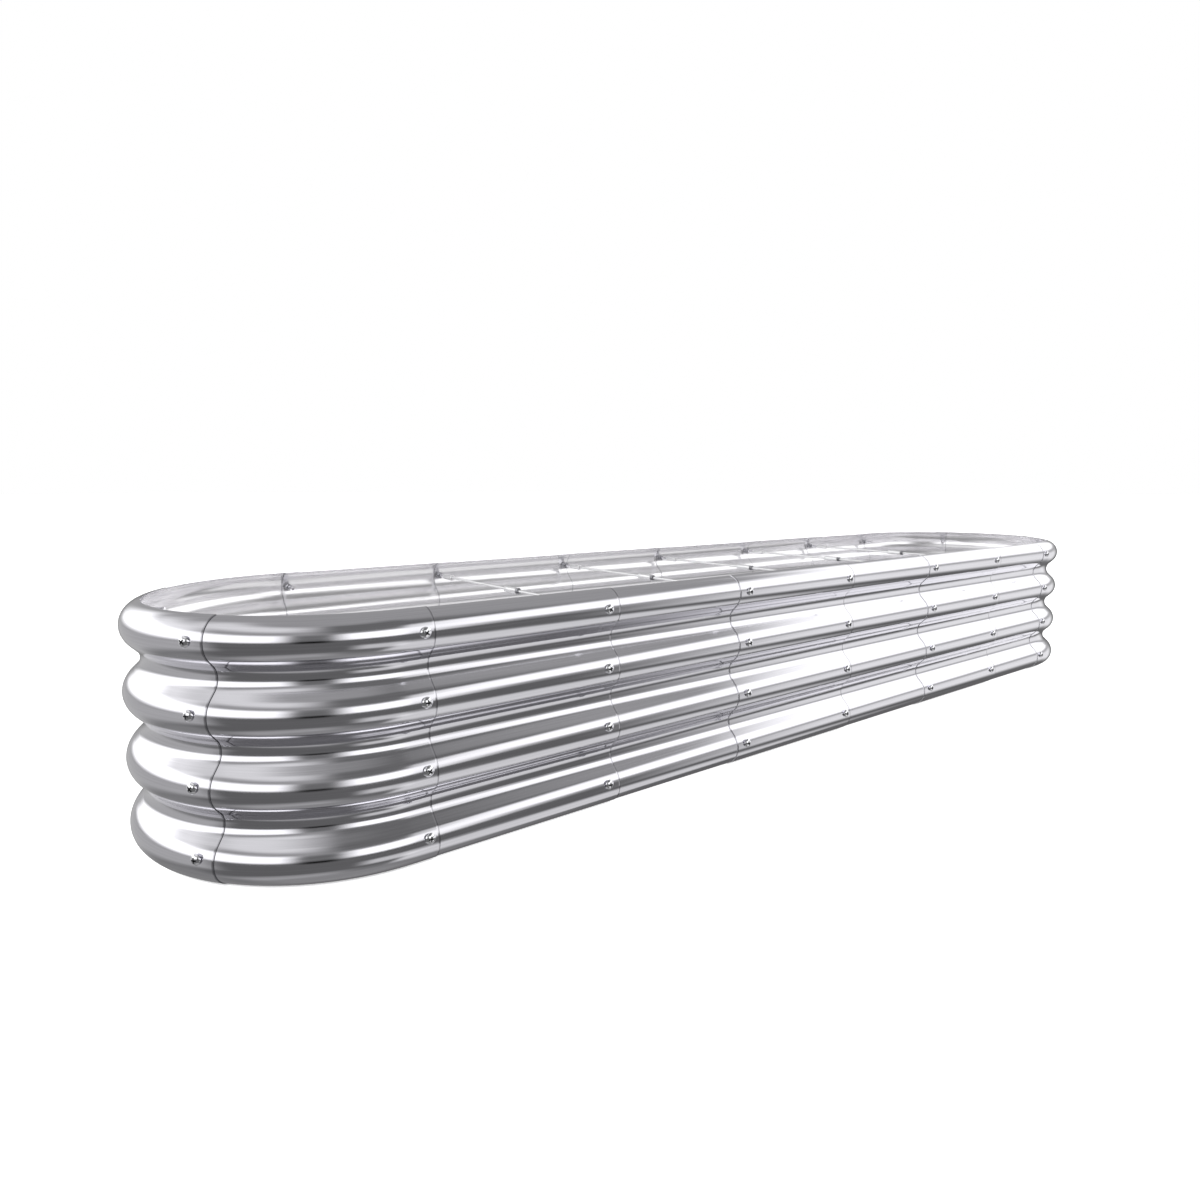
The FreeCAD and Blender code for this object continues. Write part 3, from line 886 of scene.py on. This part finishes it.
@dataclass
class Fasteners:
    """The screws and nuts of the seams.

    Each screw is turned about its own axis by a step more than the last, as a fitter leaves them.
    """

    sizes: BedSizes
    screw_diameter: float = 6.0
    thread_pitch: float = 1.0
    seam_length: float = 30.0
    tie_length: float = 35.0
    shank_overlap: float = 0.2
    head_diameter: float = 12.6
    head_height: float = 4.2
    head_sides: int = 32
    foot_chamfer: float = 0.25
    shoulder_drop: float = 0.15
    dome_radius: float = 8.6
    dome_rings: int = 8
    recess_span: float = 8.6
    recess_slot: float = 1.8
    recess_depth: float = 2.8
    recess_taper: Point = (0.45, 0.7)
    recess_skin: float = 0.12
    recess_lowest: float = 0.4
    head_gap: float = 0.03
    turn_step: float = 47.0
    nut_width: float = 10.0
    nut_height: float = 5.0
    nut_smoothing: float = 20.0
    nut_rounding: float = 0.7
    nut_margin: Point = (0.2, 0.01)
    nut_sides: int = 48
    bore_room: float = 0.1

    def screw(self, name: str, length: float) -> Piece:
        """Models a screw with a domed head above Z = 0 and a plain shank below.

        Args:
            name: the piece's name.
            length: of the shank.

        Returns:
            The screw.
        """
        head = self.domed_head()
        shank = Bar(self.screw_diameter, self.thread_pitch).build(length)
        drop = self.shank_overlap - length
        shank.data.transform(Matrix.Translation((0.0, 0.0, drop * MM)))
        screw = join([head, shank], name)
        smooth(screw, FASTENER_SMOOTHING)
        return screw

    def domed_head(self) -> Piece:
        """Models the domed head with its cross recess, standing on Z = 0."""
        rim = self.head_diameter / 2
        centre = self.head_height - self.dome_radius
        first = math.asin(rim / self.dome_radius)
        shoulder = centre + self.dome_radius * math.cos(first)
        outline = [(rim - self.foot_chamfer, 0.0), (rim, self.foot_chamfer)]
        outline.append((rim, shoulder - self.shoulder_drop))
        for step in range(1, self.dome_rings):
            angle = first * (1 - step / self.dome_rings)
            radius = self.dome_radius * math.sin(angle)
            outline.append((radius, centre + self.dome_radius * math.cos(angle)))
        head = turned(outline, self.head_sides)
        for turn in (0.0, 90.0):
            carve(head, self.recess_blade(turn))
        return head

    def in_recess(self, place: Vector) -> bool:
        """Tells whether a point of a screw lies in the cross recess, below the dome.

        Args:
            place: the point, with the head standing on Z = 0.

        Returns:
            True in the recess.
        """
        centre = Vector((0.0, 0.0, (self.head_height - self.dome_radius) * MM))
        sunk = (place - centre).length < (self.dome_radius - self.recess_skin) * MM
        within = place.xy.length < self.recess_span / 2 * MM
        return sunk and within and place.z > self.recess_lowest * MM

    def recess_blade(self, turn: float) -> Piece:
        """Models one blade of the driver that presses the cross recess, tapered to its tip.

        Args:
            turn: degrees about the Z axis.

        Returns:
            The blade.
        """
        top = self.head_height + TOOL_EXCESS
        bottom = self.head_height - self.recess_depth
        size = (self.recess_span, self.recess_slot, top - bottom)
        blade = new_block(size, (0.0, 0.0, (top + bottom) / 2))
        bpy.ops.object.mode_set(mode="EDIT")
        bpy.ops.mesh.select_mode(type="FACE")
        bpy.ops.mesh.select_all(action="DESELECT")
        mesh = bmesh.from_edit_mesh(blade.data)
        min(mesh.faces, key=lambda face: face.calc_center_median().z).select_set(True)
        bmesh.update_edit_mesh(blade.data)
        narrow(*self.recess_taper, bottom)
        leave_edit()
        blade.data.transform(Matrix.Rotation(math.radians(turn), 4, "Z"))
        return blade

    def nut(self, width: float, height: float, thread: float) -> Piece:
        """Models a hexagon nut from Z = 0 up, its corners turned off at both faces.

        Args:
            width: across the flats.
            height: of the nut.
            thread: diameter of the thread that it goes on.

        Returns:
            The nut.
        """
        corner = width / math.sqrt(3)
        nut = turned([(corner, 0.0), (corner, height)], 6)
        slope = (corner - width / 2) * self.nut_rounding
        aside, above = self.nut_margin
        outside = corner + aside
        outline = [(width / 2, -above), (outside, slope), (outside, height - slope)]
        outline.append((width / 2, height + above))
        carve(nut, turned(outline, self.nut_sides), "INTERSECT")
        bore = (thread + self.bore_room) / 2
        hole = [(bore, -TOOL_EXCESS), (bore, height + TOOL_EXCESS)]
        carve(nut, turned(hole, BORE_SIDES))
        smooth(nut, self.nut_smoothing)
        return nut

    def nut_seat(self, level: int) -> float:
        """Radius at which a nut's outer face clears the hollow side of the crest behind it."""
        s = self.sizes
        inner = s.crest_radius - (level + 1) * s.sheet_step - s.sheet_thickness
        corner = s.first_screw - s.crest_radius + self.nut_width / math.sqrt(3)
        return s.wall_radius - s.crest_radius + math.sqrt(inner**2 - corner**2)

    def head_seat(self, level: int) -> float:
        """Radius of the underside of a screw head on the sheet that shows."""
        return self.sizes.wall_radius - level * self.sizes.sheet_step + self.head_gap

    def place_columns(
        self,
        name: str,
        columns: list[tuple[float, float, int, bool]],
        screws: tuple[Piece, Piece],
        nut: Piece,
    ) -> list[Placed]:
        """Sets copies of the screws and nuts in columns.

        Args:
            name: what the two groups are called after.
            columns: X, azimuth, level of the sheet that shows, and whether a tie rod is there.
            screws: the seam screw and the longer tie screw.
            nut: the nut.

        Returns:
            The group of screws and the group of nuts.
        """
        screw_copies = []
        nut_copies = []
        for x, azimuth, level, tied in columns:
            for row, height in enumerate(self.sizes.screw_heights):
                number = len(screw_copies)
                screw = screws[tied and row == self.sizes.crest_count - 1]
                turn = Matrix.Rotation(math.radians(self.turn_step * number % 90.0), 4, "Z")
                seat = outward(x, azimuth, self.head_seat(level), height) @ turn
                screw_copies.append(copy_at(screw, f"screw_{number}", seat))
                back = outward(x, azimuth, self.nut_seat(level) - self.nut_height, height)
                nut_copies.append(copy_at(nut, f"nut_{number}", back))
        screw_set = join(screw_copies, f"{name}_screw_set")
        nut_set = join(nut_copies, f"{name}_nut_set")
        return [
            (screw_set, f"{name}_screws", Slot.SCREW, BED_BODY),
            (nut_set, f"{name}_nuts", Slot.NUT, BED_BODY),
        ]

    def build(
        self, screw_finish: Material, recess_shade_finish: Material, nut_finish: Material
    ) -> list[Placed]:
        """Makes all the screws and nuts.

        Args:
            screw_finish: of the screws.
            recess_shade_finish: dark, of the cross recesses: painted shade in them.
            nut_finish: of the nuts.

        Returns:
            The groups of screws and nuts.
        """
        s = self.sizes
        screws = (
            self.screw("seam_screw", self.seam_length),
            self.screw("tie_screw", self.tie_length),
        )
        nut = self.nut(self.nut_width, self.nut_height, self.screw_diameter)
        for screw in screws:
            screw.data.materials.append(screw_finish)
            screw.data.materials.append(recess_shade_finish)
            # Recess faces take the dark finish: painted shade in the cross recess.
            for face in screw.data.polygons:
                face.material_index = int(self.in_recess(face.center))
        nut.data.materials.append(nut_finish)
        made = []
        for side in Side:
            columns = [
                (x, BACK_AZIMUTH * side.value, s.seam_levels[number], 0 < number < len(s.bays))
                for number, x in enumerate(s.columns)
            ]
            made += self.place_columns(side.name.lower(), columns, screws, nut)
        for end in End:
            level = s.end_levels[end.value]
            columns = [(*s.end_seam(end, side), level, False) for side in Side]
            made += self.place_columns(f"{end.name.lower()}_end", columns, screws, nut)
        for pattern in (*screws, nut):
            bpy.data.objects.remove(pattern)
        return made


# ---- tie rods ----


@dataclass
class TieRods:
    """The five tie rods with their sockets, turnbuckles and lock nuts."""

    sizes: BedSizes
    fasteners: Fasteners
    tie_columns: tuple[int, ...] = (1, 2, 3, 4, 5)
    rod_diameter: float = 5.0
    thread_pitch: float = 0.8
    rod_engagement: float = 12.0
    socket_diameter: float = 9.0
    socket_length: float = 27.5
    socket_bore_depth: float = 13.0
    socket_reach: float = 208.0
    turnbuckle_diameter: float = 9.0
    turnbuckle_length: float = 31.0
    turnbuckle_back: float = 12.0
    wrench_flat_width: float = 7.4
    wrench_flat_length: float = 8.0
    wrench_tool_length: float = 10.0
    sleeve_sides: int = 40
    sleeve_chamfer: float = 0.5
    lock_nut_width: float = 8.0
    lock_nut_height: float = 5.0
    lock_nut_gap: float = 0.3
    bore_gap: float = 0.05

    @property
    def socket_foot(self) -> float:
        """Distance of a socket's inner end from the middle of the bed."""
        return self.socket_reach - self.socket_length

    @property
    def turnbuckle_front(self) -> float:
        """Distance of a turnbuckle's front end from the middle of the bed."""
        return self.turnbuckle_length - self.turnbuckle_back

    def sleeve(
        self, diameter: float, length: float, bores: list[tuple[float, float, float]]
    ) -> Piece:
        """Models a round sleeve with chamfered ends and bores along its axis.

        Args:
            diameter: over the outside.
            length: of the sleeve.
            bores: of each, the diameter of what goes into it and the heights of its two ends.

        Returns:
            The sleeve from Z = 0 up.
        """
        outer = diameter / 2
        end = outer - self.sleeve_chamfer
        foot, head = self.sleeve_chamfer, length - self.sleeve_chamfer
        outline = [(end, 0.0), (outer, foot), (outer, head), (end, length)]
        piece = turned(outline, self.sleeve_sides)
        for inner, low, high in bores:
            radius = (inner + 2 * self.bore_gap) / 2
            carve(piece, turned([(radius, low), (radius, high)], BORE_SIDES))
        return piece

    def socket(self) -> Piece:
        """Models a socket, with the rod's bore below and the screw's bore above."""
        length, depth = self.socket_length, self.socket_bore_depth
        bores = [
            (self.rod_diameter, -TOOL_EXCESS, depth),
            (self.fasteners.screw_diameter, length - depth, length + TOOL_EXCESS),
        ]
        return self.sleeve(self.socket_diameter, length, bores)

    def turnbuckle(self) -> Piece:
        """Models the turnbuckle sleeve with its two wrench flats."""
        length, reach = self.turnbuckle_length, self.turnbuckle_diameter
        bores = [(self.rod_diameter, -TOOL_EXCESS, length + TOOL_EXCESS)]
        piece = self.sleeve(reach, length, bores)
        height = length - self.wrench_flat_length + self.wrench_tool_length / 2
        size = (2 * reach, reach, self.wrench_tool_length)
        for hand in (1, -1):
            middle = (0.0, hand * (self.wrench_flat_width + reach) / 2, height)
            carve(piece, new_block(size, middle))
        return piece

    def build(self, steel: Material, dark: Material) -> list[Placed]:
        """Makes the five tie rods.

        Args:
            steel: finish of the rods, sockets and turnbuckles.
            dark: finish of the lock nuts.

        Returns:
            The pieces.
        """
        reach = self.socket_foot + 2 * self.rod_engagement
        rod = Bar(self.rod_diameter, self.thread_pitch)
        patterns = {
            "socket": self.socket(),
            "turnbuckle": self.turnbuckle(),
            "lock_nut": self.fasteners.nut(
                self.lock_nut_width, self.lock_nut_height, self.rod_diameter
            ),
            "back": rod.build(reach - self.turnbuckle_back),
            "front": rod.build(reach - self.turnbuckle_front),
        }
        for name, pattern in patterns.items():
            pattern.data.materials.append(dark if name == "lock_nut" else steel)
            if name != "lock_nut":
                smooth(pattern, FASTENER_SMOOTHING)
        made = []
        for number, column in enumerate(self.tie_columns, start=1):
            made += self.place_tie(number, self.sizes.columns[column], patterns)
        for pattern in patterns.values():
            bpy.data.objects.remove(pattern)
        return made

    def place_tie(self, number: int, x: float, patterns: dict[str, Piece]) -> list[Placed]:
        """Sets the pieces of one tie rod.

        Args:
            number: of the tie rod, from the left.
            x: of its screw column.
            patterns: the modelled pieces by name.

        Returns:
            The pieces.
        """
        height = self.sizes.screw_heights[-1]
        foot, front = self.socket_foot, self.turnbuckle_front
        places = {
            "front_socket": ("socket", FRONT_AZIMUTH, foot),
            "back_socket": ("socket", BACK_AZIMUTH, foot),
            "back": ("back", BACK_AZIMUTH, self.turnbuckle_back - self.rod_engagement),
            "front": ("front", FRONT_AZIMUTH, front - self.rod_engagement),
            "turnbuckle": ("turnbuckle", BACK_AZIMUTH, -front),
            "lock_nut": ("lock_nut", FRONT_AZIMUTH, front + self.lock_nut_gap),
        }
        made = []
        for part, (pattern, azimuth, radius) in places.items():
            node = f"tie_rod_{number}_{part}"
            place = outward(x, azimuth, radius, height)
            piece = copy_at(patterns[pattern], f"{node}_piece", place)
            slot = Slot.LOCK_NUT if part == "lock_nut" else Slot.ROD
            body = f"turnbuckle_{number}" if part == "turnbuckle" else BED_BODY
            made.append((piece, node, slot, body))
        return made


# ---- studio ----


@dataclass(frozen=True)
class SoftPanel:
    """A soft area of light in the studio, by the directions that it fills, in degrees.

    A negative strength is a black cloth that holds light off.
    """

    name: str
    azimuth: float
    half_width: float
    side_blur: float
    elevation: float
    half_height: float
    blur: float
    strength: float

    def shade(self, board: NodeBoard, azimuth: Socket, elevation: Socket) -> Socket:
        """Adds the panel's light for a direction.

        Args:
            board: the nodes of the studio's air.
            azimuth: of the direction.
            elevation: of the direction.

        Returns:
            The brightness that the panel adds.
        """
        aside = board.calc("SUBTRACT", azimuth, self.azimuth)
        wrapped = board.calc("WRAP", aside, 180.0, -180.0)
        above = board.calc("SUBTRACT", elevation, self.elevation)
        light: Value = self.strength
        for offset, half, soft in (
            (wrapped, self.half_width, self.side_blur),
            (above, self.half_height, self.blur),
        ):
            away = board.calc("ABSOLUTE", offset)
            edge = (half - soft / 2, half + soft / 2)
            fade = board.remap(away, edge, (1.0, 0.0), "SMOOTHSTEP")
            light = board.calc("MULTIPLY", fade, light)
        return light


@dataclass(frozen=True)
class Viewpoint:
    """The camera that took the photograph, worked out from the places of the screws."""

    place: tuple[float, float, float] = (-1.12408, -1.00691, 0.42266)
    yaw: float = 51.673
    pitch: float = 6.003
    roll: float = 0.028
    lens: float = 23.899
    sensor_width: float = 36.0
    shift_y: float = -0.02868
    clip_start: float = 0.01
    clip_end: float = 100.0

    def build(self) -> None:
        """Makes the scene's camera."""
        data = bpy.data.cameras.new("photo_camera")
        for name in ("lens", "sensor_width", "shift_y", "clip_start", "clip_end"):
            setattr(data, name, getattr(self, name))
        camera = bpy.data.objects.new("photo_camera", data)
        bpy.context.scene.collection.objects.link(camera)
        turns = (self.yaw - 90.0, "Z"), (90.0 - self.pitch, "X"), (self.roll, "Z")
        placement = Matrix.Translation(self.place)
        for degrees, axis in turns:
            placement @= Matrix.Rotation(math.radians(degrees), 4, axis)
        camera.matrix_world = placement
        bpy.context.scene.camera = camera


@dataclass
class Studio:
    """The white floor and the air of the studio with its soft panels of light.

    The camera sees plain white all round, and the steel mirrors the grey room and its panels. What
    one fold mirrors in the next is lifted, because the folds are light in the photograph. The
    floor throws a little light up into the bed, and carries a painted contact shadow close to
    where the bed stands.
    """

    floor_colour: str = "#F4F4F4"
    floor_roughness: float = 0.9
    floor_radius: float = 30.0
    floor_sides: int = 96
    floor_height: float = -0.0004
    floor_bounce: float = 0.2
    contact_shadow_reach: float = 3.0
    contact_shadow_samples: int = 8
    ceiling_grey: float = 0.42
    ground_grey: float = 0.16
    nadir_grey: float = 0.34
    nadir_span: Point = (-75.0, -50.0)
    horizon_span: Point = (-3.0, 8.0)
    fold_depths: Point = (2.0, 3.0)
    fold_gain: float = 1.5
    panels: tuple[SoftPanel, ...] = (
        SoftPanel("left_band", 160.0, 63.0, 16.0, 15.0, 13.5, 9.0, 1.3),
        SoftPanel("front_near_band", -84.5, 20.0, 18.0, 15.0, 13.0, 8.0, 1.35),
        SoftPanel("front_far_band", -22.0, 40.0, 18.0, 24.5, 13.5, 9.0, 1.3),
        SoftPanel("ceiling_glow", 180.0, 50.0, 40.0, 53.0, 10.0, 14.0, 0.56),
        SoftPanel("back_glow", 137.0, 27.0, 30.0, 34.0, 7.0, 14.0, 0.75),
        SoftPanel("front_flag", -78.0, 38.0, 26.0, 49.0, 18.0, 14.0, -0.23),
        SoftPanel("gap_flag", -121.0, 10.0, 12.0, 12.0, 16.0, 12.0, -0.22),
        SoftPanel("right_floor_glow", -22.0, 23.0, 20.0, -8.0, 11.5, 12.0, 0.95),
        SoftPanel("front_near_glow", -80.0, 16.0, 16.0, -35.0, 9.0, 10.0, 0.62),
        SoftPanel("front_floor_glow", -40.5, 27.5, 14.0, -47.0, 14.0, 12.0, 0.72),
        SoftPanel("left_floor_glow", 135.0, 45.0, 20.0, -14.0, 15.0, 14.0, 0.37),
        SoftPanel("left_deep_glow", 122.0, 40.0, 30.0, -44.0, 12.0, 14.0, 0.12),
        SoftPanel("near_floor_glow", -155.0, 45.0, 40.0, -60.0, 8.0, 12.0, 0.22),
    )

    def floor(self) -> Piece:
        """Makes a wide floor that shows white, with a painted contact shadow by the bed, and keeps
        out of the steel's reflections.
        """
        deselect_all()
        bpy.ops.mesh.primitive_circle_add(
            vertices=self.floor_sides,
            radius=self.floor_radius,
            fill_type="NGON",
            location=(0.0, 0.0, self.floor_height),
        )
        ground = bpy.context.object
        ground.name = "studio_floor"
        ground.visible_glossy = False
        material = bpy.data.materials.new("studio_floor_paint")
        board = NodeBoard(material)
        ray = board.add("ShaderNodeLightPath").outputs
        bounce, seen = ray["Is Diffuse Ray"], ray["Is Camera Ray"]
        # Ambient occlusion darkens the floor's glow near the bed: a painted contact shadow.
        reach = {"Distance": self.contact_shadow_reach * MM}
        painted_contact_shadow = board.add("ShaderNodeAmbientOcclusion", reach, samples=self.contact_shadow_samples)
        board.paint(
            {
                "Base Color": colour(self.floor_colour),
                "Roughness": self.floor_roughness,
                "Emission Color": painted_contact_shadow.outputs["Color"],
                "Emission Strength": board.calc("MULTIPLY_ADD", bounce, self.floor_bounce, seen),
            }
        )
        ground.data.materials.append(material)
        return ground

    def air(self) -> None:
        """Makes the light all round: white to the camera, a grey room with panels to the steel."""
        world = bpy.data.worlds.new("studio_air")
        bpy.context.scene.world = world
        board = NodeBoard(world)
        direction = board.add("ShaderNodeTexCoord").outputs["Generated"]
        part = board.add("ShaderNodeSeparateXYZ", {"Vector": direction}).outputs
        around = board.calc("ARCTAN2", part["Y"], part["X"])
        azimuth = board.calc("DEGREES", around)
        elevation = board.calc("DEGREES", board.calc("ARCSINE", part["Z"]))
        greys = (self.nadir_grey, self.ground_grey)
        below = board.remap(elevation, self.nadir_span, greys)
        greys = (below, self.ceiling_grey)
        light = board.remap(elevation, self.horizon_span, greys, "SMOOTHSTEP")
        for panel in self.panels:
            added = panel.shade(board, azimuth, elevation)
            light = board.calc("ADD", light, added)
        ray = board.add("ShaderNodeLightPath").outputs
        gain = board.remap(ray["Ray Depth"], self.fold_depths, (1.0, self.fold_gain))
        lifted = board.calc("MULTIPLY", light, gain)
        strength = board.mix(ray["Is Camera Ray"], lifted, 1.0, "FLOAT")
        white = {"Color": (1.0, 1.0, 1.0, 1.0), "Strength": strength}
        board.feed(board.tree.nodes["Background"], white)

    def build(self) -> None:
        """Makes the studio, with plain display of its tones."""
        self.floor()
        self.air()
        bpy.context.scene.view_settings.view_transform = "Standard"


# ---- making the scene ----


def settle(piece: Piece, node: str, slot: Slot, body: str) -> None:
    """Puts a finished piece in the place of its CAD node.

    Args:
        piece: the finished piece.
        node: the CAD node that it stands for.
        slot: the record's material slot; not used.
        body: the CAD body that it moves with.
    """
    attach(piece, body)
    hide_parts(node)
    LOG.info("%s: %d faces, stands for %s", piece.name, len(piece.data.polygons), node)


def main() -> None:
    """Builds the whole scene."""
    logging.basicConfig(level=logging.INFO, format="%(message)s")
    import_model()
    Viewpoint().build()
    sizes = BedSizes()
    zinc = RolledGalvanised().build()
    # Inner faces: duller zinc, made whiter and less metallic as painted light so the inside of the
    # bed reads lighter; the higher roughness is the finish's own.
    inner_zinc_painted_light = RolledGalvanised(
        "galvanised_steel_inner_painted_light",
        "#F7F6F8",
        "#EAE9EC",
        metallic=0.68,
        roughness=(0.14, 0.22),
        streak_depth=0.002,
        ripple_depth=0.02,
        # Painted seam shade on the inner faces, lighter than on the outside.
        seam_shade_tone="#B4B3B8",
    ).build()
    wall_edge_painted_light, end_edge_painted_shade, screw_steel, recess_painted_shade, nut_steel, rod_steel, dark_steel = (
        finish.build()
        for finish in (
            # Rim faces of the wall sheets, near white: painted light, so their seams read light.
            SpeckledSteel("steel_zinc_covered_edge", "#F4F4F6", "#DCDCE0", (0.4, 0.6)),
            # Rim faces of the end sheets, dark: bare steel, made darker as painted shade of the
            # gap at the lap.
            SpeckledSteel("steel_bare_edge_and_gap_shade", "#77777A", "#4A4A4D", (0.4, 0.6)),
            SpeckledSteel("nickel_plated_screw_steel", "#EEEEF1", "#D6D6DA", (0.06, 0.14)),
            # Cross recesses, dark: painted shade in the recesses.
            SpeckledSteel("unplated_recess_steel", "#6A6A6E", "#46464A", (0.3, 0.45)),
            SpeckledSteel("zinc_plated_nut_steel", "#C8C8CC", "#9A9A9F", (0.2, 0.35)),
            SpeckledSteel("zinc_plated_rod_steel", "#FDFDFE", "#EEEEF0", (0.18, 0.3), 0.4),
            SpeckledSteel("dark_zinc_lock_nut", "#9C9CA0", "#727276", (0.25, 0.4)),
        )
    )
    walls = CorrugatedWalls(sizes)
    for placed in walls.build([zinc, inner_zinc_painted_light, wall_edge_painted_light], [zinc, inner_zinc_painted_light, end_edge_painted_shade]):
        settle(*placed)
    fasteners = Fasteners(sizes)
    for placed in fasteners.build(screw_steel, recess_painted_shade, nut_steel):
        settle(*placed)
    for placed in TieRods(sizes, fasteners).build(rod_steel, dark_steel):
        settle(*placed)
    Studio().build()


if __name__ == "__main__":
    main()
